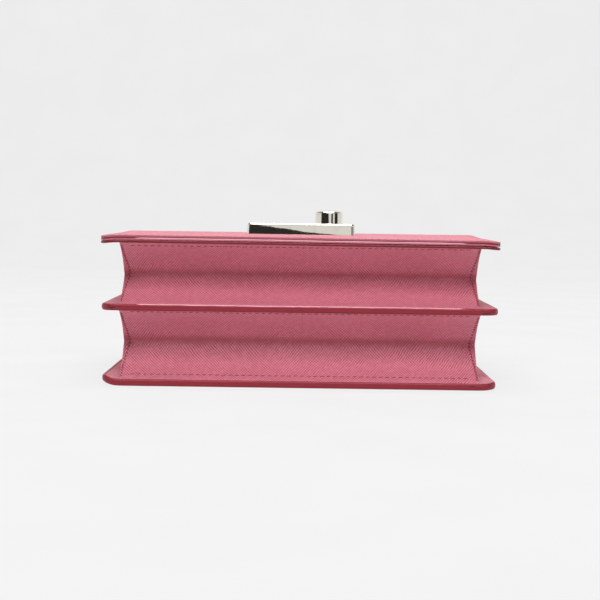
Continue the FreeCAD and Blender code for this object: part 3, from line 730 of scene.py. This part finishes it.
def side_point(side, t, s, gap):
    """Outer face of a side gusset: t runs from the bottom channel to the mouth."""
    base = channel_point(side * SEAM_X, s, gap)
    y = base.y + 0.5 + (GUSSET_TOP - base.y - 0.5) * t
    run = max(0.0, (y - CHANNEL_Y) / (GUSSET_TOP - CHANNEL_Y))
    bend = fold_shape(s, gap.crease) if 0 < s < 1 else 0.0
    soft = math.sin(math.pi * s)
    inward = SIDE_FOLD * run ** 1.25 * bend + soft * 0.5 * wander(y, s * 20.0, 26.0, gap.seed + side)
    return Vector((side * (MARGIN_X - 0.15 - inward), y, gap.low + (gap.high - gap.low) * s))


def side_gusset(gap, side, word):
    count, hide_length = 56, 110.0
    shares = [(k / count) ** 1.15 for k in range(count + 1)]
    rows = [[side_point(side, t, k / FOLD_STEPS, gap) for k in range(FOLD_STEPS + 1)] for t in shares]
    made = gusset_solid("%s_%s_side" % (gap.name, word), rows, Vector((-side, 0, 0)),
                        [hide_length * t for t in shares], gap.crease)
    between_panels(made, gap, "%s_%s_gusset" % (gap.name, word))


def seam_spot(x, s, gap):
    """A point of the channel's visible face, with its outward normal."""
    step = 0.01
    a = channel_point(x, max(0.0, s - step), gap)
    b = channel_point(x, min(1.0, s + step), gap)
    normal = Vector((1, 0, 0)).cross(b - a).normalized()
    return channel_point(x, s, gap), normal if normal.y < 0 else -normal


def gusset_seams(gap):
    """Stitches of one bottom gusset: straight rows beside the panels and one down each corner seam."""
    rows = []
    for share in gap.rows:
        xs = [-SEAM_X + 1.5 + (2 * SEAM_X - 3.0) * k / 90 for k in range(91)]
        rows.append(("straight", [seam_spot(x, share, gap) for x in xs]))
    for side in (-1, 1):
        shares = [0.03 + 0.94 * k / 40 for k in range(41)]
        rows.append(("corner", [seam_spot(side * seam_place(share), share, gap) for share in shares]))
    for number, (kind, path) in enumerate(rows):
        piece = "%s_seam_%d" % (gap.name, number)
        if kind == "corner":
            made = stitch_row(piece, path, 1.8, 1.75, 0.33, gap.bodies[0], slant=0.45, sink=0.3)
        else:
            made = stitch_row(piece, path, STITCH_PITCH, 2.3, 0.2, gap.bodies[0], slant=0.16)
        made.parent = None
        between_panels(made, gap)


def gussets():
    for gap in GAPS:
        bottom_gusset(gap)
        side_gusset(gap, -1, "left")
        side_gusset(gap, 1, "right")
        gusset_seams(gap)


# ---------------------------------------------------------------- flap

FOLD_TURNS = 10
STRIP_STEPS = 36


def fold_path(offset):
    """The flap's line from the back panel's edge round to its free edge, offset inwards from its outer face,
    as (y, z, way) with way measured along the outer face."""
    radius = FOLD_RADIUS - offset
    turns, steps = FOLD_TURNS, STRIP_STEPS
    path = []
    way = 0.0
    for k in range(turns + 1):
        angle = -math.pi / 2 + math.pi / 2 * k / turns
        path.append((FAR + radius * math.cos(angle), FOLD_RADIUS + radius * math.sin(angle), way))
        way += FOLD_RADIUS * math.pi / 2 / turns if k < turns else 0.0
    top_axis = FLAP_HIGH.z - FOLD_RADIUS
    rise = top_axis - FOLD_RADIUS
    for k in range(1, steps + 1):
        path.append((FAR + radius, FOLD_RADIUS + rise * k / steps, way + rise * k / steps))
    way += rise
    for k in range(1, turns + 1):
        angle = math.pi / 2 * k / turns
        path.append((FAR + radius * math.cos(angle), top_axis + radius * math.sin(angle),
                     way + FOLD_RADIUS * angle))
    return path, way + FOLD_RADIUS * math.pi / 2


REAR_SHARE = FOLD_TURNS + 1 + STRIP_STEPS // 2
LOCK_SEAT = 0.14


def flap_sections(outer, inner, part):
    """Sections of one flap layer between two depths under its outer face: part is rear or front."""
    sections, grains = [], []
    for x in stations(FLAP_HALF, FLAP_CORNER, 3.0):
        edge = FLAP_LOW.y + rounding(x, FLAP_HALF, FLAP_CORNER)
        sides = []
        for offset in (outer, inner):
            seat = LOCK_SEAT if offset == FLAP_THICK else 0.0
            path, way = fold_path(offset)
            steps = 40
            front = [(FAR + (edge - FAR) * k / steps, FLAP_HIGH.z - offset, way + (FAR - edge) * k / steps)
                     for k in range(1, steps + 1)]
            line = path + front
            line = line[:REAR_SHARE] if part == "rear" else line[REAR_SHARE - 1:]
            sides.append([(x, y, z + flap_warp(x, y, z) + seat * lock_zone(x, y), way_here)
                          for y, z, way_here in line])
        sections.append([p[:3] for p in sides[0]] + [p[:3] for p in reversed(sides[1])])
        grains.append([(x, p[3]) for p in sides[0]] + [(x, p[3] + 300.0) for p in reversed(sides[1])])
    return sections, grains


def lock_zone(x, y):
    """About 1 under the lock and 0 away from it."""
    return math.exp(-(x / 34.0) ** 4 - ((y - COVER_HIGH.y) / 30.0) ** 4)


def flap_warp(x, y, z):
    """The strip and the rear fold, below the flap's own level, stay flat."""
    return front_warp(x, y) if z >= FLAP_LOW.z - 2.0 else 0.0


def front_warp(x, y):
    """The flap is flat at its fold and under the lock. Further down it follows the panel below, and settles
    on it at one end."""
    share = ease((FAR - 6.0 - y) / 40.0)
    return share * (1 - lock_zone(x, y)) * (tip_droop(x, y) + 0.02 + 0.0014 * x)


def flap_blend(made, part):
    """Keeps a flap piece's placement in its mesh, the same way for the rear and the front part."""
    if part == "rear":
        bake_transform(made)
        return
    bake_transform(made)


def flap_rail(part):
    """Edge rail of the flap: down one end, along the free edge, and up the other end."""
    depth = FLAP_THICK / 2
    path, _ = fold_path(depth)
    ends = path[:REAR_SHARE] if part == "rear" else path[REAR_SHARE - 1:]
    rails = []
    for side in (-1, 1):
        rail = []
        for k, (y, z, _) in enumerate(ends):
            before, after = ends[max(k - 1, 0)], ends[min(k + 1, len(ends) - 1)]
            along = Vector((0, after[0] - before[0], after[1] - before[1])).normalized()
            normal = Vector((side, 0, 0)).cross(along) * side
            rail.append((Vector((side * FLAP_HALF, y, z)), Vector((side, 0, 0)), normal))
        rails.append(rail)
    if part == "rear":
        return rails
    rim = panel_rail(FLAP_HALF, FLAP_CORNER, FLAP_LOW.z, FLAP_HIGH.z, front_warp, False,
                     FLAP_LOW.y, FAR - 0.5)
    return [rails[0] + rim + rails[1][::-1]]


def flap():
    skins = (
        ("skin", 0.0, 0.66, OUTER, "outer_leather",
         {"rear": ("flap_rear_fold",), "front": ("flap_leather", "top_strip_leather", "flap_front_fold")}),
        ("lining", FLAP_THICK - 0.54, FLAP_THICK, LINING, "lining_leather",
         {"rear": (), "front": ("flap_lining", "top_strip_lining")}))
    for word, outer, inner, material, slot, nodes in skins:
        for part in ("rear", "front"):
            sections, grains = flap_sections(outer, inner, part)
            made = loft("flap_%s_%s" % (word, part), sections, grains, material)
            if nodes[part]:
                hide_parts(*nodes[part])
            flap_blend(made, part)
    for part in ("rear", "front"):
        for number, rail in enumerate(flap_rail(part)):
            made = bead("flap_edge_%s_%d" % (part, number), rail, FLAP_THICK / 2, False, FLAP_EDGE)
            flap_blend(made, part)
    board_low = FLAP_LOW.z + 0.5
    dress(sheet("flap_stiffener", FLAP_HALF - BOARD_INSET, 3.5, board_low, board_low + 0.8, BOARD,
                front_warp, FLAP_LOW.y + BOARD_INSET, FAR - 2 * BOARD_INSET),
          "stiffener_board", "flap", "flap_board")
    perimeter_seam("flap_seam", FLAP_HALF, FLAP_CORNER, FLAP_HIGH.z - 0.05, 1, front_warp, "flap",
                   FAR - 4.0, FLAP_LOW.y, PINK_THREAD)


# ---------------------------------------------------------------- metal

def lathe(name, profile, centre, axis, material, turns=64):
    """Turns a closed profile of (radius, height) about an axis through centre."""
    turn = UP.rotation_difference(Vector(axis)).to_matrix()
    points, grain = [], []
    for k in range(turns):
        angle = 2 * math.pi * k / turns
        for radius, height in profile:
            spot = Vector((radius * math.cos(angle), radius * math.sin(angle), height))
            points.append(Vector(centre) + turn @ spot)
            grain.append((angle * radius, height))
    faces = bridge(len(profile), turns, closed=True)
    return orient(make_object(name, points, faces, grain, material, 35.0), weld=True)


def corner_arc(radius, height, bend, start, stop, steps=6):
    """Profile points of a rounded corner whose centre is (radius, height)."""
    return [(radius + bend * math.cos(math.radians(start + (stop - start) * k / steps)),
             height + bend * math.sin(math.radians(start + (stop - start) * k / steps)))
            for k in range(steps + 1)]


def ring_point(angle, half_x, half_y, bend, centre):
    """Where a ray from centre meets a rounded rectangle about the origin."""
    way = Vector((math.cos(angle), math.sin(angle)))
    near, far = 0.0, 2 * (half_x + half_y)
    for _ in range(40):
        middle = (near + far) / 2
        spot = centre + way * middle
        beyond = Vector((max(abs(spot.x) - half_x + bend, 0.0), max(abs(spot.y) - half_y + bend, 0.0)))
        outside = beyond.length > bend or abs(spot.x) > half_x or abs(spot.y) > half_y
        near, far = (near, middle) if outside else (middle, far)
    return centre + way * near


def cover_angles(half_x, half_y, bend, centre):
    """Directions from the button's centre that sample the cover's outline evenly, and its corners finely."""
    spots = []
    for side_x, side_y, first in ((1, 1, 0), (-1, 1, 90), (-1, -1, 180), (1, -1, 270)):
        corner = Vector((side_x * (half_x - bend), side_y * (half_y - bend)))
        for k in range(9):
            angle = math.radians(first + 90 * k / 8)
            spots.append(corner + Vector((math.cos(angle), math.sin(angle))) * bend)
    for k in range(1, 24):
        x = (half_x - bend) * (-1 + 2 * k / 24)
        spots += [Vector((x, half_y)), Vector((x, -half_y))]
    for k in range(1, 8):
        y = (half_y - bend) * (-1 + 2 * k / 8)
        spots += [Vector((half_x, y)), Vector((-half_x, y))]
    return sorted(math.atan2((s - centre).y, (s - centre).x) for s in spots)


COVER_CORNER = 2.0
COVER_WALL = 0.8
FLANGE_DROP = 0.7
FLANGE_THICK = 0.5
FLANGE_HALF = 4.0


def lock_cover():
    """The bright cover: a shallow box with soft edges, open below, with a round window for the button."""
    half_x, half_y = (COVER_HIGH.x - COVER_LOW.x) / 2, (COVER_HIGH.y - COVER_LOW.y) / 2
    middle = (COVER_LOW + COVER_HIGH) / 2
    button = Vector((BUTTON.x - middle.x, 0.0))
    low, high = COVER_LOW.z, COVER_HIGH.z
    edge, wall, window = 0.65, COVER_WALL, (BUTTON_HIGH.x - BUTTON_LOW.x) / 2 + 0.25
    angles = cover_angles(half_x, half_y, COVER_CORNER, button)
    rings = [("box", 0.0, low + (high - edge - 0.2 - low) * k / 5) for k in range(6)]
    for k in range(6):
        turn = math.pi / 2 * k / 5
        rings.append(("box", edge * (1 - math.cos(turn)), high - edge + edge * math.sin(turn)))
    rings += [("box", edge + 0.3, high), ("disc", window + 0.35, high), ("disc", window + 0.1, high - 0.06),
              ("disc", window, high - 0.22), ("disc", window, high - wall),
              ("box", wall, high - wall), ("box", wall, low)]
    points, grain = [], []
    for kind, inset, z in rings:
        rise = (z - low) / (high - low)
        lean = 0.26 * (1 - rise ** 2) if inset < wall else 0.0
        for angle in angles:
            if kind == "box":
                inside = inset - lean
                bend = max(0.6, COVER_CORNER - inset)
                spot = ring_point(angle, half_x - inside, half_y - inside, bend, button)
            else:
                spot = button + Vector((math.cos(angle), math.sin(angle))) * inset
            points.append((middle.x + spot.x, middle.y + spot.y, z))
            grain.append((spot.x, spot.y))
    faces = bridge(len(angles), len(rings), closed=True)
    made = orient(make_object("cover_shell", points, faces, grain, NICKEL, 32.0))
    dress(made, "polished_nickel", "flap", "lock_cover")


def lock_button():
    """The round knob with its softly domed crown, and the hidden flange and cone below it."""
    radius = (BUTTON_HIGH.x - BUTTON_LOW.x) / 2
    seat = COVER_HIGH.z - COVER_WALL - FLANGE_DROP
    top = BUTTON_HIGH.z
    crown, slope, cone = 1.3, 3.4, 1.4
    profile = [(0.0, seat - cone), (0.6, seat - cone), (2.0, seat), (FLANGE_HALF, seat)]
    profile += [(FLANGE_HALF, seat + FLANGE_THICK)]
    profile.append((radius, seat + FLANGE_THICK + 0.02))
    for k in range(13):
        turn = math.pi / 2 * k / 12
        profile.append((radius - slope * (1 - math.cos(turn)), top - crown * (1 - math.sin(turn))))
    profile += [(radius / 4, top - 0.03), (0.0, top - 0.04)]
    centre = (BUTTON.x, BUTTON.y, 0.0)
    dress(lathe("round_knob", profile, centre, (0, 0, 1), NICKEL, turns=96), "polished_nickel",
          "button", "lock_button")
    reach = (BUTTON_HIGH.y - BUTTON_LOW.y) / 2
    corners = [(x, y, z) for x in (-FLANGE_HALF, FLANGE_HALF) for y in (-reach, reach)
               for z in (seat + 0.02, seat + FLANGE_THICK)]
    points = [Vector(centre) + Vector(corner) for corner in corners]
    faces = [(0, 1, 3, 2), (4, 6, 7, 5), (0, 4, 5, 1), (2, 3, 7, 6), (0, 2, 6, 4), (1, 5, 7, 3)]
    dress(orient(make_object("knob_flange", points, faces, corners, PLATE)), "polished_nickel", "button")


def coil(name, foot, axis, radius, wire, length, turns):
    """A round-wire compression spring from foot along axis."""
    tilt = UP.rotation_difference(axis).to_matrix()
    steps, sides = 20 * turns, 8
    sections, grains = [], []
    for k in range(steps + 1):
        angle = 2 * math.pi * turns * k / steps
        out = Vector((math.cos(angle), math.sin(angle), 0.0))
        middle = out * (radius - wire / 2) + Vector((0, 0, wire / 2 + (length - wire) * k / steps))
        ring = []
        for j in range(sides):
            turn = 2 * math.pi * j / sides
            spot = middle + out * (wire / 2 * math.cos(turn)) + Vector((0, 0, wire / 2 * math.sin(turn)))
            ring.append(tuple(foot + tilt @ spot))
        sections.append(ring)
        grains.append([(radius * angle, wire * j) for j in range(sides)])
    made = tube_ring(name, sections, grains, SPRING, capped=True)
    return made


def lock_springs():
    """Two springs under the knob's flange, and one behind the bolt."""
    radius, play = 0.8, 0.1
    low, high = span("button_springs")
    length = high.z - low.z - 2 * play
    for number, side in enumerate((-1, 1)):
        y = (low.y + high.y) / 2 + side * (high.y - low.y - 2 * radius) / 2
        foot = Vector(((low.x + high.x) / 2, y, low.z + play))
        made = coil("button_coil_%d" % number, foot, UP, radius, 0.3, length, 4)
        if number == 0:
            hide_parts("button_springs")
        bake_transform(made)
    low, high = span("bolt_spring")
    foot = Vector((low.x, (low.y + high.y) / 2, (low.z + high.z) / 2))
    made = coil("bolt_coil", foot, Vector((1, 0, 0)), 0.55, 0.25, high.x - low.x, 8)
    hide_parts("bolt_spring")
    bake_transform(made)


def eyelets():
    """Rolled metal eyelets in the top strip."""
    for word in ("left", "right"):
        low, high = span("strap_eyelet_" + word)
        centre = ((low.x + high.x) / 2, 0.0, (low.z + high.z) / 2)
        rim = (high.x - low.x) / 2
        bore, barrel, thick = 3.0, 3.5, 0.6
        profile = [(bore, low.y), (barrel, low.y), (barrel, high.y - thick), (rim - 0.1, high.y - thick)]
        profile += corner_arc(rim - 0.3, high.y - 0.3, 0.3, -60, 90)
        profile += [((bore + rim) / 2, high.y)]
        profile += corner_arc(bore + 0.45, high.y - 0.45, 0.45, 90, 180)
        dress(lathe("eyelet_" + word, profile, centre, (0, 1, 0), NICKEL), "polished_nickel",
              "top_strip", "strap_eyelet_" + word)


def hidden_hardware():
    """CAD nodes whose shape is already right keep it and get a finished material."""
    finishes = {
        PLATE: ("striker_plate", "striker_rivets", "lock_base_plate", "lock_back_plate", "lock_screws",
                "latch_bolt", "eyelet_washer_left", "eyelet_washer_right"),
        NICKEL: ("striker_post",),
        BOARD: ("back_panel_board", "divider_board"),
    }
    for material, names in finishes.items():
        for name in names:
            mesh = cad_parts[name].data
            mesh.materials.clear()
            mesh.materials.append(material)


# ---------------------------------------------------------------- studio

def stage_material(name, colour, roughness, glow):
    shader = Shader(name)
    speck = shader.noise(shader.place(), 0.02, 2.0)
    tone = shader.mix(shader.span(speck, 0.3, 0.7), colour, tuple(c * 0.985 for c in colour))
    shader.feed(shader.shader.inputs["Emission Color"], tone)
    return shader.finish(tone, roughness, specular_ior_level=0.1, emission_strength=glow)


def floor():
    """A pale sweep: level under the bag, and curving up behind it."""
    half, front, back, bend = 2200.0, -2500.0, 900.0, 500.0
    profile = [(front, 0.0), (back, 0.0)]
    profile += [(back + bend * math.sin(math.pi / 2 * k / 16), bend * (1 - math.cos(math.pi / 2 * k / 16)))
                for k in range(1, 17)]
    profile.append((back + bend, 2600.0))
    points = [(x, y, z) for y, z in profile for x in (-half, half)]
    faces = [(2 * k, 2 * k + 1, 2 * k + 3, 2 * k + 2) for k in range(len(profile) - 1)]
    made = make_object("studio_floor", points, faces, [(p[0], p[1]) for p in points],
                       stage_material("studio_paper", (0.08, 0.08, 0.08), 0.9, 9.6), 60.0)


def area_light(name, place, target, size, power):
    data = bpy.data.lights.new(name, "AREA")
    data.shape = "RECTANGLE"
    data.size, data.size_y = size
    data.energy = power
    made = put(name, data)
    made.location = place
    made.rotation_euler = (Vector(target) - Vector(place)).to_track_quat("-Z", "Y").to_euler()
    return made


def lights():
    area_light("front_softbox", (0.0, -1.05, 1.25), (0.0, -0.02, 0.03), (1.3, 0.8), 20.0)
    area_light("overhead_softbox", (0.0, 0.05, 1.35), (0.0, 0.0, 0.03), (1.1, 0.5), 15.0)
    world = bpy.data.worlds.new("studio_tent")
    bpy.context.scene.world = world
    world.use_nodes = True
    tree = world.node_tree
    background = tree.nodes["Background"]
    background.inputs["Strength"].default_value = 1.0
    place = tree.nodes.new("ShaderNodeTexCoord")
    axes = tree.nodes.new("ShaderNodeSeparateXYZ")
    ramp = tree.nodes.new("ShaderNodeMapRange")
    ramp.interpolation_type = "SMOOTHSTEP"
    for name, number in (("From Min", 0.12), ("From Max", 0.40), ("To Min", 0.72), ("To Max", 0.13)):
        ramp.inputs[name].default_value = number
    tree.links.new(place.outputs["Generated"], axes.inputs[0])
    tree.links.new(axes.outputs["Z"], ramp.inputs["Value"])
    tree.links.new(ramp.outputs["Result"], background.inputs["Color"])


CARD_DISTANCE = 1250.0
CARDS = (
    ((-66.0, 13.0), (-40.0, 13.0), (-20.0, 13.0), (-5.0, 11.0), (-2.8, 9.5), (-0.6, 4.5), (0.6, 1.1),
     (2.2, -0.2)),
    ((20.0, 9.0), (34.0, 9.0)),
    ((49.0, 9.0), (62.0, 9.0), (78.0, 9.0)),
)


def dark_cards():
    """Black cards in front of the bag, as (bearing, height) in degrees seen from the lock: the bright metal
    mirrors them."""
    black = stage_material("black_card", (0.02, 0.02, 0.02), 0.8, 0.0)
    for number, edge in enumerate(CARDS):
        points, grain = [], []
        for bearing, rise in edge:
            way = math.radians(bearing)
            x, y = CARD_DISTANCE * math.sin(way), COVER_LOW.y - CARD_DISTANCE * math.cos(way)
            points += [(x, y, 5.0), (x, y, COVER_HIGH.z + CARD_DISTANCE * math.tan(math.radians(rise)))]
            grain += [(bearing, 0.0), (bearing, rise)]
        faces = [(2 * k, 2 * k + 1, 2 * k + 3, 2 * k + 2) for k in range(len(edge) - 1)]
        card = make_object("dark_card_%d" % number, points, faces, grain, black)
        card.visible_camera = False


CAMERA_DISTANCE = 600.0
CAMERA_HEIGHT = 74.5
CAMERA_PITCH = 3.58
CAMERA_ROLL = 0.8
CAMERA_LENS = 86.8


def camera():
    data = bpy.data.cameras.new("photo_camera")
    data.sensor_width = 36.0
    data.lens = CAMERA_LENS
    data.clip_start = 0.01
    data.clip_end = 20.0
    made = put("photo_camera", data)
    turn = Matrix.Rotation(math.radians(90.0 - CAMERA_PITCH), 4, "X")
    roll = Matrix.Rotation(math.radians(CAMERA_ROLL), 4, "Z")
    place = Matrix.Translation(Vector((0.0, NEAR - CAMERA_DISTANCE, CAMERA_HEIGHT)) * MM)
    made.matrix_world = place @ turn @ roll
    bpy.context.scene.camera = made
    bpy.context.scene.view_settings.view_transform = "Standard"


camera()
lights()
dark_cards()
floor()
panels()
gussets()
flap()
lock_cover()
lock_button()
lock_springs()
eyelets()
hidden_hardware()
